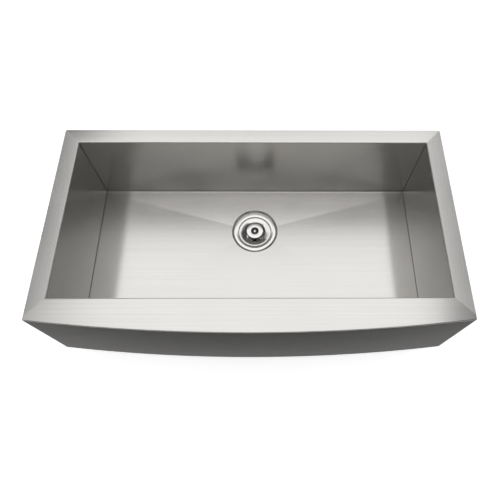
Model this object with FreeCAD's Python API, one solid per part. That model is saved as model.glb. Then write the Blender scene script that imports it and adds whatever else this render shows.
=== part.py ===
"""Farmhouse apron front sink: a folded stainless steel bowl with a bowed apron, and its basket strainer.

Frame: millimetres, +Z up, +X to the right of someone at the sink, -Y towards them.
X = 0 is the sink's middle, Y = 0 the middle of the rear flange, and Z = 0 the flanges' underside.
"""
import FreeCAD
import Part
import math
import os
from FreeCAD import Vector

# ---------------------------------------------------------------- driving dimensions, sheet metal
OVERALL_WIDTH = 914.4
CORNER_DEPTH = 478.0        # rear edge to the apron's corners
APRON_BOW = 26.0            # how far the apron's middle stands ahead of its corners
APRON_HEIGHT = 228.6
BOWL_DEPTH = 221.0          # flange top to the floor beside the walls
SIDE_FLANGE = 38.1
REAR_FLANGE = 38.1
FRONT_FLANGE = 48.0         # bowl opening to the apron's corners
SHEET = 1.5
MOUTH_BEND = 3.0            # visible radius where a flange turns down into the bowl
FOOT_BEND = 3.0            # inner radius where the floor turns up into the front and rear walls
FLOOR_MARGIN = 10.0         # level strip along the walls, before the creased floor begins to fall
FLOOR_FALL = 6.0            # fall of the floor, from its margin to the drain
CORNER_RADIUS = 4.0         # plan radius of the sink's four corners
FRONT_ROUND = 3.0           # ground round where the front flange is welded to the apron
EDGE_ROUND = 1.2            # dressed round on the other outer edges

# ---------------------------------------------------------------- driving dimensions, apron
APRON_RETURN = 50.0         # how far the apron's ends fold back along the sides
BOTTOM_RETURN = 28.0        # width of the strip that closes the apron's bottom edge
BRACKET_WIDTH = 40.0
BRACKET_FOOT = 22.0
BRACKET_OFFSET = 230.0      # from the middle to each apron bracket
BRACKET_SHEET = 2.0
BRACKET_BEND = 2.0          # inner radius
BRACKET_SET = 6.0           # bracket's tip behind the apron

# ---------------------------------------------------------------- driving dimensions, sound pads
PAD = 3.0                   # thickness
PAD_INSET = 28.0            # bare strip round each pad
WALL_PAD_TOP = 45.0         # below the flange's underside
WALL_PAD_HEIGHT = 110.0
PAD_BEVEL = 1.0

# ---------------------------------------------------------------- driving dimensions, strainer
DRAIN_SETBACK = 162.5       # rear edge of the sink to the drain's axis
RECESS_MARGIN = 0.6         # stamped seat round the drain hole, beyond the strainer's flange
RECESS_DEPTH = 1.6          # below the floor's lowest point
RECESS_SLOPE = 1.0          # rise over run of the recess's wall
BODY_R = 43.1               # outside of the strainer's threaded wall
BODY_WALL = 1.5
FLANGE_WIDTH = 15.6         # from the threaded wall to the flange's rim
FLANGE_SHEET = 1.5
FLANGE_LAND = 3.0           # plain width at the flange's rim, before its dish
FLANGE_DISH = 1.2           # fall of the flange from its rim to the basket's seat
SEALANT = 0.8
SEALANT_MARGIN = 1.2
NECK_STEP = 1.5             # how far the plain neck under the flange stands out from the thread
NECK_CLEARANCE = 0.6        # neck in the sink's drain hole
CUP_BEND = 4.0
FUNNEL_MARGIN = 2.0         # cup floor outside the stopper's seal
FUNNEL_FALL = 5.0
THROAT_R = 20.0
OUTLET_R = 23.9             # outside of the outlet's pipe thread
OUTLET_WALL = 2.2
OUTLET_LENGTH = 19.0
SPIDER_WIDTH = 5.0
SPIDER_HEIGHT = 4.0
SPIDER_DROP = 3.0           # throat to the spider's top
HUB_R = 8.5
SEAT_LEDGE = 1.3            # step that the basket's lip sits in
SEAT_WALL = 1.0             # metal left between that step and the neck's outside

GASKET = 3.0                # thickness
GASKET_WIDTH = 12.9         # from the threaded wall to the gasket's rim
FRICTION_RING = 1.2         # thickness
FRICTION_WIDTH = 10.9
LOCKNUT_WIDTH = 6.9
LOCKNUT_HEIGHT = 11.0
LOCKNUT_BEVEL = 1.5
LOCKNUT_LUGS = 6
LUG_LENGTH = 6.0
LUG_WIDTH = 12.0
RING_CLEARANCE = 0.3
THREAD_CLEARANCE = 0.15

# ---------------------------------------------------------------- driving dimensions, basket
BASKET_SHEET = 1.0
LIP_CLEARANCE = 0.4
LIP_REST = 0.05
LIP_WIDTH = 2.2
DISH_FALL = 1.8             # fall of the basket's plain dish from its lip to the well
WELL_R = 28.5               # inside of the perforated well, at its top
WELL_TAPER = 2.5            # the well's floor is this much smaller in radius
WELL_DEPTH = 24.2           # below the dish's inner edge
WELL_BEND = 3.0
WALL_SLOTS = 10
WALL_SLOT_WIDTH = 4.5
WALL_SLOT_HEIGHT = 9.0
WALL_SLOT_DROP = 4.0        # well's top edge to the slots
FLOOR_HOLE_R = 2.2
FLOOR_HOLES = 8
FLOOR_HOLE_RING = 16.5      # radius of the ring of floor holes
BUSH_R = 7.0
BUSH_HEIGHT = 6.0
BUSH_FLANGE_R = 9.5
BUSH_FLANGE = 1.2

# ---------------------------------------------------------------- driving dimensions, stopper
STOPPER_TRAVEL = 8.0
STOP_GAP = 0.5              # left between retainer and bush at full lift
FOOT_GAP = 0.1              # left between the knob's foot and the bush when it is down
POST_R = 4.0
POST_STEP = 1.0             # how much smaller in radius the post is where the clip is pressed on
POST_END = 1.0              # length of the post below the clip
POST_CLEARANCE = 0.06       # radial, in the bush
SEAL_R = 24.5
SEAL_THICKNESS = 5.0
SEAL_FLANK = 3.0            # width of the seal's sloping flank
SEAL_REST = 0.05
RETAINER_R = 16.0
RETAINER_THICKNESS = 1.2
CAP_R = 22.6                # the knob's wide cap
CAP_HEIGHT = 7.6
CAP_SHEET = 1.4
CAP_STAND = 4.2             # cap's top above the strainer flange's rim
CAP_EDGE = 1.2
CAP_RECESS_R = 9.4
CAP_RECESS_DEPTH = 5.0
STEM_R = 6.2                # the knob's stem, between its cap and its foot
STEM_FLARE = 1.5
DOME_R = 4.8                # dome nut in the cap's recess
DOME_SKIRT = 2.2
DOME_RISE = 3.4
DOME_SHOULDER_R = 3.7       # where the dome's side turns over towards its crown
DOME_SHOULDER = 2.0         # height of that turn above the skirt
DOME_CROWN_R = 1.6          # small flat at the dome's top
CLIP_R = 4.9
CLIP_HEIGHT = 8.0
CLIP_TIP = 1.4
CLIP_CLEARANCE = 0.3

# ---------------------------------------------------------------- worked-out places
TOP = SHEET                                     # flanges' top face
REAR_EDGE = REAR_FLANGE / 2
REAR_WALL = REAR_EDGE - REAR_FLANGE             # inner face of the rear wall
CORNER_Y = REAR_EDGE - CORNER_DEPTH             # the apron's corners
FRONT_WALL = CORNER_Y + FRONT_FLANGE            # inner face of the front wall
APRON_MIDDLE_Y = CORNER_Y - APRON_BOW
HALF_WIDTH = OVERALL_WIDTH / 2
HALF_OPENING = HALF_WIDTH - SIDE_FLANGE
FLOOR_Z = TOP - BOWL_DEPTH
APEX_Z = FLOOR_Z - FLOOR_FALL
APRON_BOTTOM = TOP - APRON_HEIGHT
DRAIN_Y = REAR_EDGE - DRAIN_SETBACK
FLANGE_R = BODY_R + FLANGE_WIDTH
RECESS_R = FLANGE_R + RECESS_MARGIN
GASKET_R = BODY_R + GASKET_WIDTH
FRICTION_R = BODY_R + FRICTION_WIDTH
LOCKNUT_R = BODY_R + LOCKNUT_WIDTH
NECK_R = BODY_R + NECK_STEP
DRAIN_HOLE_R = NECK_R + NECK_CLEARANCE
BASKET_LIP_R = NECK_R - SEAT_WALL - LIP_CLEARANCE
SEAT_Z = APEX_Z - RECESS_DEPTH                  # top of the recess round the drain hole
FLANGE_Z = SEAT_Z + SEALANT                     # underside of the strainer's flange
RIM_Z = FLANGE_Z + FLANGE_SHEET                 # top of the strainer's flange at its rim
CUP_R = BODY_R - BODY_WALL
LIP_SEAT_Z = RIM_Z - FLANGE_DISH - SEAT_LEDGE   # ledge under the basket's lip
LIP_Z = LIP_SEAT_Z + LIP_REST + BASKET_SHEET
WELL_TOP_Z = LIP_Z - DISH_FALL
WELL_FLOOR_Z = WELL_TOP_Z - WELL_DEPTH
BUSH_TOP_Z = WELL_FLOOR_Z + BUSH_HEIGHT
BUSH_BOTTOM_Z = WELL_FLOOR_Z - BASKET_SHEET - BUSH_FLANGE
RETAINER_TOP_Z = BUSH_BOTTOM_Z - STOPPER_TRAVEL - STOP_GAP
SEAL_TOP_Z = RETAINER_TOP_Z - RETAINER_THICKNESS
SEAL_BOTTOM_Z = SEAL_TOP_Z - SEAL_THICKNESS
FUNNEL_R = SEAL_R + FUNNEL_MARGIN
FUNNEL_SLOPE = FUNNEL_FALL / (FUNNEL_R - THROAT_R)
CUP_FLOOR_Z = SEAL_BOTTOM_Z - SEAL_REST + FUNNEL_SLOPE * (FUNNEL_MARGIN + SEAL_FLANK)
THROAT_Z = CUP_FLOOR_Z - FUNNEL_FALL
OUTLET_Z = THROAT_Z - OUTLET_LENGTH
OUTLET_TOP_Z = THROAT_Z - OUTLET_WALL
OUTLET_BORE_R = OUTLET_R - OUTLET_WALL
SPIDER_TOP_Z = THROAT_Z - SPIDER_DROP
CAP_TOP_Z = RIM_Z + CAP_STAND
DRAIN_AXIS = Vector(0, DRAIN_Y, 0)
FAR = 2 * OVERALL_WIDTH                         # longer than anything here, for cutting tools


# ---------------------------------------------------------------- small helpers
def wire_of(edges):
    return Part.Wire(Part.__sortEdges__(edges))


def line(a, b):
    return Part.LineSegment(a, b).toShape()


def arc(a, middle, b):
    return Part.Arc(a, middle, b).toShape()


def prism(points, depth):
    """A polygon of points, pushed along the vector depth."""
    return Part.Face(Part.makePolygon(points + points[:1])).extrude(depth)


def box_between(low, high):
    size = high - low
    return Part.makeBox(size.x, size.y, size.z, low)


def turned(profile):
    """A closed (radius, height) profile, turned round the drain's axis."""
    points = [Vector(r, 0, z) for r, z in profile]
    face = Part.Face(Part.makePolygon(points + points[:1]))
    solid = face.revolve(Vector(0, 0, 0), Vector(0, 0, 1), 360)
    solid.translate(DRAIN_AXIS)
    return solid


def ring(outer, inner, bottom, top):
    return turned([(inner, bottom), (outer, bottom), (outer, top), (inner, top)])


def disc(radius, bottom, top):
    return Part.makeCylinder(radius, top - bottom, Vector(0, DRAIN_Y, bottom))


def mirrored(shape):
    """The same piece on the sink's other side."""
    return shape.mirror(Vector(0, 0, 0), Vector(1, 0, 0))


def round_edges(shape, radius, wanted):
    """Fillets the edges for which wanted(edge) is true."""
    picked = [e for e in shape.Edges if wanted(e)]
    return shape.makeFillet(radius, picked)


def save(shape, node):
    solids = shape.Solids
    if not solids or not all(s.isValid() and s.Volume > 0 for s in solids):
        raise ValueError(f"{node} isn't made of sound solids")
    kept = solids[0] if len(solids) == 1 else Part.makeCompound(solids)
    kept.exportStep(f"parts/{node}.step")


# ---------------------------------------------------------------- the bowl's folded sheets
def channel(low, high, bottom, bend, mouth):
    """Points of the U that a bowl's section follows, in (across, height), with round bends.

    low and high are the two walls, bottom the floor's height and bend the radius where it turns up.
    mouth is how far each wall flares at its top, over a quarter round that ends at the height 0.
    """
    def at(u, z):
        return Vector(u, z, 0)

    def wall_side(wall, inward):
        """The edges of one wall, from the floor up. inward is +1 where the bowl lies at larger u."""
        k = 1 - math.sqrt(0.5)
        foot = []
        start = at(wall, bottom)
        if bend > 0:
            start = at(wall, bottom + bend)
            foot.append(arc(at(wall + inward * bend, bottom),
                            at(wall + inward * bend * k, bottom + bend * k), start))
        return foot + [
            line(start, at(wall, -mouth)),
            arc(at(wall, -mouth), at(wall - inward * mouth * k, -mouth * k), at(wall - inward * mouth, 0)),
        ]

    edges = wall_side(low, 1) + wall_side(high, -1)
    edges.append(line(at(low + bend, bottom), at(high - bend, bottom)))
    edges.append(line(at(low - mouth, 0), at(high + mouth, 0)))
    return Part.Face(wire_of(edges))


def standing(face, top, along_x):
    """Turns a channel's flat face upright, lifts its mouth to the height top and pushes it far each way."""
    upright = face.copy()
    upright.rotate(Vector(0, 0, 0), Vector(1, 0, 0), 90)
    if along_x:
        upright.rotate(Vector(0, 0, 0), Vector(0, 0, 1), 90)
        upright.translate(Vector(-HALF_WIDTH, 0, top))
        return upright.extrude(Vector(OVERALL_WIDTH, 0, 0))
    upright.translate(Vector(0, REAR_EDGE, top))
    return upright.extrude(Vector(0, -CORNER_DEPTH, 0))


def bowl_volume(skin, top, mouth):
    """The bowl's hollow, grown outwards by skin: one channel along the sink met by one across it."""
    along = channel(FRONT_WALL - skin, REAR_WALL + skin, FLOOR_Z - skin - top, FOOT_BEND + skin, mouth)
    across = channel(-HALF_OPENING - skin, HALF_OPENING + skin, FLOOR_Z - skin - top, 0, mouth)
    return standing(along, top, True).common(standing(across, top, False))


def floor_funnel(drop):
    """The creased floor's fall: four flat facets from a level margin down to the drain, drop lower."""
    apex = Vector(0, DRAIN_Y, APEX_Z - drop)
    x = HALF_OPENING - FLOOR_MARGIN
    front = FRONT_WALL + FLOOR_MARGIN
    rear = REAR_WALL - FLOOR_MARGIN
    z = FLOOR_Z - drop
    corners = [Vector(-x, front, z), Vector(x, front, z), Vector(x, rear, z), Vector(-x, rear, z)]
    faces = [Part.Face(Part.makePolygon(corners + corners[:1]))]
    for i in range(4):
        a, b = corners[i], corners[(i + 1) % 4]
        faces.append(Part.Face(Part.makePolygon([a, b, apex, a])))
    return Part.makeSolid(Part.makeShell(faces))


def bowed_outline(inset, z):
    """The sink's plan: square at the back and sides, bowed at the front, drawn in by inset."""
    x = HALF_WIDTH - inset
    corner = CORNER_Y + inset
    front = arc(Vector(x, corner, z), Vector(0, APRON_MIDDLE_Y + inset, z), Vector(-x, corner, z))
    rear = REAR_EDGE - inset
    sides = [line(Vector(-x, corner, z), Vector(-x, rear, z)), line(Vector(-x, rear, z), Vector(x, rear, z)),
             line(Vector(x, rear, z), Vector(x, corner, z))]
    return Part.Face(wire_of([front] + sides))


def bowed_prism(inset, bottom, top):
    """The plan drawn in by inset, pushed up from bottom to top, with its front corners rounded to match."""
    block = bowed_outline(inset, bottom).extrude(Vector(0, 0, top - bottom))
    if inset >= CORNER_RADIUS:
        return block

    def front_corner(e):
        return e.BoundBox.ZLength > (top - bottom) / 2 and e.CenterOfMass.y < 0

    return round_edges(block, CORNER_RADIUS - inset, front_corner)


def outer_form():
    """Deck and apron as one block with its edges dressed, from which both sheets are taken."""
    block = bowed_outline(0, APRON_BOTTOM).extrude(Vector(0, 0, APRON_HEIGHT))

    def bowed_edge(e, z):
        box = e.BoundBox
        return e.Length > OVERALL_WIDTH * 1.0001 and abs(box.ZMin - z) < 1e-4 and abs(box.ZMax - z) < 1e-4

    block = round_edges(block, FRONT_ROUND, lambda e: bowed_edge(e, TOP))
    block = round_edges(block, EDGE_ROUND, lambda e: bowed_edge(e, APRON_BOTTOM))
    return block.common(bowed_prism(0, APRON_BOTTOM, TOP)).cut(side_edge_waste())


def side_edge_waste():
    """What the rounded rear corners and the dressing of the sides and rear take off the flanges."""
    slab = box_between(Vector(-HALF_WIDTH, -FAR, 0), Vector(HALF_WIDTH, REAR_EDGE, TOP))
    dressed = round_edges(slab, CORNER_RADIUS,
                          lambda e: e.BoundBox.ZLength > SHEET / 2 and e.CenterOfMass.y > 0)

    def outer_top(e):
        box = e.BoundBox
        return abs(box.ZMin - TOP) < 1e-6 and abs(box.ZMax - TOP) < 1e-6 and box.YMax > -FAR + SHEET

    dressed = round_edges(dressed, EDGE_ROUND, outer_top)
    return slab.cut(dressed)


def drain_recess(drop):
    """The stamped recess round the drain, as a flat-bottomed cone that opens above the floor, drop lower."""
    rise = FLOOR_Z + SHEET - SEAT_Z
    return turned([(0, SEAT_Z - drop), (RECESS_R, SEAT_Z - drop),
                   (RECESS_R + rise / RECESS_SLOPE, SEAT_Z - drop + rise), (0, SEAT_Z - drop + rise)])


def folded_tub():
    """Bowl and deck as one skin, before it is parted into the sheets it is folded from."""
    skin = bowl_volume(SHEET, 0, MOUTH_BEND - SHEET).fuse(floor_funnel(SHEET)).fuse(drain_recess(SHEET))
    hollow = bowl_volume(0, TOP, MOUTH_BEND).fuse(floor_funnel(0)).fuse(drain_recess(0))
    deck = outer_form().common(box_between(Vector(-FAR, -FAR, 0), Vector(FAR, FAR, TOP)))
    hole = disc(DRAIN_HOLE_R, SEAT_Z - 2 * SHEET, FLOOR_Z)
    return skin.fuse(deck).cut(hollow).cut(hole).removeSplitter()


def end_region(side):
    """Where an end's sheet lies: beyond the bowl below the mouth, and inside the mitres above it."""
    inner = side * HALF_OPENING
    z = TOP - MOUTH_BEND
    outwards = [Vector(inner, -FAR, -FAR), Vector(inner, FAR, -FAR), Vector(side * FAR, FAR, -FAR),
                Vector(side * FAR, -FAR, -FAR)]
    below = prism(outwards, Vector(0, 0, FAR + z))
    rear = Vector(inner, REAR_WALL, z)
    front = Vector(inner, FRONT_WALL, z)
    rear_out = rear + Vector(side, 1, 0) * (2 * SIDE_FLANGE)
    front_out = front + Vector(side, -1, 0) * (2 * SIDE_FLANGE)
    mitred = prism([rear, front, front_out, rear_out], Vector(0, 0, 2 * MOUTH_BEND))
    return below.fuse(mitred)


def front_rim_region():
    """Where the front rim's own sheet lies: ahead of the bowl's front wall, from the mouth's bend up."""
    return box_between(Vector(-FAR, -FAR, TOP - MOUTH_BEND), Vector(FAR, FRONT_WALL, FAR))


# ---------------------------------------------------------------- the apron
def behind_apron():
    return box_between(Vector(-FAR, CORNER_Y + APRON_RETURN, -FAR), Vector(FAR, FAR, FAR))


def apron_shell():
    """The bowed front with its ends folded back, open at the top, the back and the bottom."""
    above = box_between(Vector(-FAR, -FAR, 0), Vector(FAR, FAR, FAR))
    return outer_form().cut(above).cut(bowed_prism(SHEET, APRON_BOTTOM, TOP)).cut(behind_apron())


def apron_strip():
    """The flat strip welded inside the apron's bottom edge."""
    inner = bowed_prism(SHEET + BOTTOM_RETURN, APRON_BOTTOM, 0)
    return bowed_prism(SHEET, APRON_BOTTOM, APRON_BOTTOM + SHEET).cut(inner).cut(behind_apron())


def apron_pad():
    """Sound pad on the back of the apron."""
    run = HALF_OPENING - 2 * PAD_INSET
    top = -WALL_PAD_TOP
    window = box_between(Vector(-run, -FAR, top - WALL_PAD_HEIGHT), Vector(run, FRONT_WALL, top))
    layer = bowed_prism(SHEET, APRON_BOTTOM, 0).cut(bowed_prism(SHEET + PAD, APRON_BOTTOM, 0))
    return layer.common(window)


def apron_inner_y(x):
    """The apron's inner face at a distance x from the middle, on its circle."""
    radius = (HALF_WIDTH ** 2 + APRON_BOW ** 2) / (2 * APRON_BOW)
    centre = APRON_MIDDLE_Y + radius
    return centre - math.sqrt((radius - SHEET) ** 2 - x ** 2)


def apron_bracket(x):
    """An L-shaped bracket from the bowl's front wall to the apron's bottom strip."""
    wall = FRONT_WALL - SHEET
    foot = apron_inner_y(abs(x) - BRACKET_WIDTH / 2) + BRACKET_SET
    low = APRON_BOTTOM + SHEET
    t = BRACKET_SHEET
    high = low + BRACKET_FOOT
    section = [(foot, low), (wall, low), (wall, high), (wall - t, high), (wall - t, low + t), (foot, low + t)]
    bracket = prism([Vector(0, y, z) for y, z in section], Vector(BRACKET_WIDTH, 0, 0))

    def along_at(e, y, z):
        return e.CenterOfMass.distanceToPoint(Vector(BRACKET_WIDTH / 2, y, z)) < 1e-6

    bracket = round_edges(bracket, BRACKET_BEND, lambda e: along_at(e, wall - t, low + t))
    bracket = round_edges(bracket, BRACKET_BEND + t, lambda e: along_at(e, wall, low))
    bracket.translate(Vector(x - BRACKET_WIDTH / 2, 0, 0))
    return bracket


# ---------------------------------------------------------------- sound pads
def pad_on_wall(low, high, outward):
    """A bevelled rubber sheet from the wall face's corner low to high, thick along outward."""
    size = high - low
    thick = outward * PAD
    start = Vector(min(low.x, low.x + thick.x), min(low.y, low.y + thick.y), low.z)
    pad = Part.makeBox(size.x + abs(thick.x), size.y + abs(thick.y), size.z, start)
    face_at = low + thick

    def on_outer_face(e):
        box = e.BoundBox
        if outward.x:
            return abs(box.XMin - face_at.x) < 1e-6 and abs(box.XMax - face_at.x) < 1e-6
        return abs(box.YMin - face_at.y) < 1e-6 and abs(box.YMax - face_at.y) < 1e-6

    return pad.makeChamfer(PAD_BEVEL, [e for e in pad.Edges if on_outer_face(e)])


def floor_pads():
    """Four pads under the floor, one on each facet, kept clear of the creases and the drain."""
    layer = floor_funnel(SHEET + PAD).cut(floor_funnel(SHEET))
    x = HALF_OPENING - PAD_INSET
    front = FRONT_WALL + PAD_INSET
    rear = REAR_WALL - PAD_INSET
    corners = [Vector(-x, front, -FAR), Vector(x, front, -FAR), Vector(x, rear, -FAR), Vector(-x, rear, -FAR)]
    clear_drain = disc(RECESS_R + PAD_INSET, -FAR, FAR)
    drain = Vector(0, DRAIN_Y, -FAR)
    names = ["pad_floor_front", "pad_floor_right", "pad_floor_rear", "pad_floor_left"]
    pads = {}
    for i, name in enumerate(names):
        a, b = corners[i], corners[(i + 1) % 4]
        clear = (b - a).normalize() * PAD_INSET
        facet = prism([a + clear, b - clear, drain], Vector(0, 0, 2 * FAR))
        pads[name] = layer.common(facet).cut(clear_drain)
    return pads


def wall_pads():
    top = -WALL_PAD_TOP
    bottom = top - WALL_PAD_HEIGHT
    end = HALF_OPENING + SHEET
    rear = REAR_WALL + SHEET
    front = FRONT_WALL - SHEET
    run = HALF_OPENING - 2 * PAD_INSET
    right = pad_on_wall(Vector(end, front + 2 * PAD_INSET, bottom), Vector(end, rear - PAD_INSET, top),
                        Vector(1, 0, 0))
    return {
        "pad_end_right": right,
        "pad_end_left": mirrored(right),
        "pad_rear_wall": pad_on_wall(Vector(-run, rear, bottom), Vector(run, rear, top), Vector(0, 1, 0)),
        "pad_front_wall": pad_on_wall(Vector(-run, front, bottom), Vector(run, front, top), Vector(0, -1, 0)),
    }


# ---------------------------------------------------------------- the strainer, from the flange down
def funnel_z(radius):
    """Height of the strainer's funnel at a radius."""
    return CUP_FLOOR_Z - FUNNEL_SLOPE * (FUNNEL_R - radius)


def strainer_body():
    """Flange, neck, threaded wall, floor and funnel in one turned form, down to the throat."""
    seat_r = BASKET_LIP_R + LIP_CLEARANCE
    dished = RIM_Z - FLANGE_DISH
    below_floor = CUP_FLOOR_Z - BODY_WALL
    return turned([
        (NECK_R, FLANGE_Z), (FLANGE_R, FLANGE_Z), (FLANGE_R, RIM_Z - FLANGE_SHEET / 2),
        (FLANGE_R - FLANGE_SHEET / 2, RIM_Z), (FLANGE_R - FLANGE_LAND, RIM_Z),
        (seat_r + FLANGE_LAND / 2, dished), (seat_r, dished), (seat_r, LIP_SEAT_Z), (CUP_R, LIP_SEAT_Z),
        (CUP_R, CUP_FLOOR_Z + CUP_BEND), (CUP_R - CUP_BEND, CUP_FLOOR_Z), (FUNNEL_R, CUP_FLOOR_Z),
        (THROAT_R, THROAT_Z), (OUTLET_BORE_R, OUTLET_TOP_Z), (OUTLET_R, OUTLET_TOP_Z),
        (OUTLET_R, funnel_z(OUTLET_R) - OUTLET_WALL), (FUNNEL_R + BODY_WALL, below_floor),
        (BODY_R - CUP_BEND, below_floor), (BODY_R, CUP_FLOOR_Z + CUP_BEND - BODY_WALL),
        (BODY_R, SEAT_Z - SHEET), (NECK_R, SEAT_Z - SHEET + NECK_STEP),
    ])


def spider():
    """Cross with a bored hub, pressed into the outlet under the throat."""
    low = SPIDER_TOP_Z - SPIDER_HEIGHT
    half = SPIDER_WIDTH / 2
    bars = box_between(Vector(-OUTLET_R, DRAIN_Y - half, low), Vector(OUTLET_R, DRAIN_Y + half, SPIDER_TOP_Z))
    cross = bars.copy()
    cross.rotate(DRAIN_AXIS, Vector(0, 0, 1), 90)
    whole = bars.fuse(cross).fuse(disc(HUB_R, low, SPIDER_TOP_Z))
    whole = whole.common(disc(OUTLET_BORE_R, low, SPIDER_TOP_Z))
    return whole.cut(disc(CLIP_R + CLIP_CLEARANCE, low, SPIDER_TOP_Z)).removeSplitter()


def locknut():
    """Ring nut with wrench lugs standing out from its rim."""
    top = SEAT_Z - SHEET - GASKET - FRICTION_RING
    bottom = top - LOCKNUT_HEIGHT
    bore = BODY_R + THREAD_CLEARANCE
    nut = turned([(bore, bottom), (LOCKNUT_R - LOCKNUT_BEVEL, bottom), (LOCKNUT_R, bottom + LOCKNUT_BEVEL),
                  (LOCKNUT_R, top), (bore, top)])
    lug = Part.makeBox(LUG_LENGTH + LOCKNUT_BEVEL, LUG_WIDTH, LOCKNUT_HEIGHT - LOCKNUT_BEVEL,
                       Vector(LOCKNUT_R - LOCKNUT_BEVEL, DRAIN_Y - LUG_WIDTH / 2, bottom + LOCKNUT_BEVEL))
    lugs = []
    for i in range(LOCKNUT_LUGS):
        turned_lug = lug.copy()
        turned_lug.rotate(DRAIN_AXIS, Vector(0, 0, 1), 360 * i / LOCKNUT_LUGS)
        lugs.append(turned_lug)
    return nut.multiFuse(lugs).removeSplitter()


# ---------------------------------------------------------------- the basket
def drain_cutters():
    """Cutters for the slots in the well's wall and the ring of holes in its floor."""
    cutters = []
    reach = WELL_R - WELL_TAPER - 2 * BASKET_SHEET
    high = WELL_TOP_Z - WALL_SLOT_DROP
    slot = box_between(Vector(reach, DRAIN_Y - WALL_SLOT_WIDTH / 2, high - WALL_SLOT_HEIGHT),
                       Vector(reach + WELL_TAPER + 5 * BASKET_SHEET, DRAIN_Y + WALL_SLOT_WIDTH / 2, high))
    for i in range(WALL_SLOTS):
        cutter = slot.copy()
        cutter.rotate(DRAIN_AXIS, Vector(0, 0, 1), 360 * i / WALL_SLOTS)
        cutters.append(cutter)
    for i in range(FLOOR_HOLES):
        angle = 2 * math.pi * i / FLOOR_HOLES
        foot = Vector(FLOOR_HOLE_RING * math.cos(angle), DRAIN_Y + FLOOR_HOLE_RING * math.sin(angle),
                      WELL_FLOOR_Z - 2 * BASKET_SHEET)
        cutters.append(Part.makeCylinder(FLOOR_HOLE_R, 3 * BASKET_SHEET, foot))
    return cutters


def basket_cup():
    """Lip, plain dish and perforated well, pressed from one sheet."""
    t = BASKET_SHEET
    lip_in = BASKET_LIP_R - LIP_WIDTH
    foot_r = WELL_R - WELL_TAPER
    shell = turned([
        (BASKET_LIP_R, LIP_Z - t), (BASKET_LIP_R, LIP_Z), (lip_in, LIP_Z), (WELL_R + t, WELL_TOP_Z),
        (WELL_R, WELL_TOP_Z - t), (foot_r, WELL_FLOOR_Z + WELL_BEND), (foot_r - WELL_BEND, WELL_FLOOR_Z),
        (BUSH_R, WELL_FLOOR_Z), (BUSH_R, WELL_FLOOR_Z - t), (foot_r - WELL_BEND + t / 2, WELL_FLOOR_Z - t),
        (foot_r + t, WELL_FLOOR_Z + WELL_BEND - t / 2), (WELL_R + t, WELL_TOP_Z - 2 * t),
        (lip_in - t, LIP_Z - t),
    ])
    return shell.cut(Part.makeCompound(drain_cutters()))


def bush():
    """Guide for the stopper's post, clinched in the basket's floor."""
    bore = POST_R + POST_CLEARANCE
    low = WELL_FLOOR_Z - BASKET_SHEET
    return turned([(bore, BUSH_BOTTOM_Z), (BUSH_FLANGE_R, BUSH_BOTTOM_Z), (BUSH_FLANGE_R, low), (BUSH_R, low),
                   (BUSH_R, BUSH_TOP_Z), (bore, BUSH_TOP_Z)])


# ---------------------------------------------------------------- the stopper and its knob
def recess_floor_z():
    return CAP_TOP_Z - CAP_RECESS_DEPTH


def knob_cap():
    """Wide cap with a dished middle and a stem down to the bush."""
    under = recess_floor_z() - CAP_SHEET
    foot = BUSH_TOP_Z + FOOT_GAP
    skirt = CAP_TOP_Z - CAP_HEIGHT
    return turned([
        (POST_R, foot), (STEM_R, foot), (STEM_R, under - STEM_FLARE), (STEM_R + STEM_FLARE, under),
        (CAP_R - CAP_SHEET, under), (CAP_R - CAP_SHEET, skirt),
        (CAP_R, skirt), (CAP_R, CAP_TOP_Z - CAP_EDGE), (CAP_R - CAP_EDGE, CAP_TOP_Z),
        (CAP_RECESS_R + CAP_EDGE, CAP_TOP_Z), (CAP_RECESS_R, recess_floor_z()),
        (POST_R, recess_floor_z()),
    ])


def dome_nut():
    """Round nut with a low domed top."""
    low = recess_floor_z()
    skirt = low + DOME_SKIRT
    return turned([(0, low), (DOME_R, low), (DOME_R, skirt), (DOME_SHOULDER_R, skirt + DOME_SHOULDER),
                   (DOME_CROWN_R, skirt + DOME_RISE), (0, skirt + DOME_RISE)])


def stopper_seal():
    """Soft disc whose sloping flank closes the strainer's funnel."""
    inner = SEAL_R - SEAL_FLANK
    return turned([(POST_R, SEAL_BOTTOM_Z), (inner, SEAL_BOTTOM_Z), (SEAL_R, funnel_z(SEAL_R) + SEAL_REST),
                   (SEAL_R, SEAL_TOP_Z), (POST_R, SEAL_TOP_Z)])


def post_clip():
    """Spring bulb under the seal, which snaps through the spider's hub."""
    low = SEAL_BOTTOM_Z - CLIP_HEIGHT
    high = SEAL_BOTTOM_Z
    bore = POST_R - POST_STEP
    return turned([(bore, low), (POST_R, low), (CLIP_R, low + CLIP_TIP), (CLIP_R, high - CLIP_TIP),
                   (POST_R, high), (bore, high)])


def stopper_post():
    """Turned post: full size from the dome nut to the seal, necked where the clip is pressed on."""
    top = recess_floor_z()
    low = SEAL_BOTTOM_Z - CLIP_HEIGHT - POST_END
    neck = POST_R - POST_STEP
    return turned([(0, low), (neck, low), (neck, SEAL_BOTTOM_Z), (POST_R, SEAL_BOTTOM_Z),
                   (POST_R, top), (0, top)])


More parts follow.
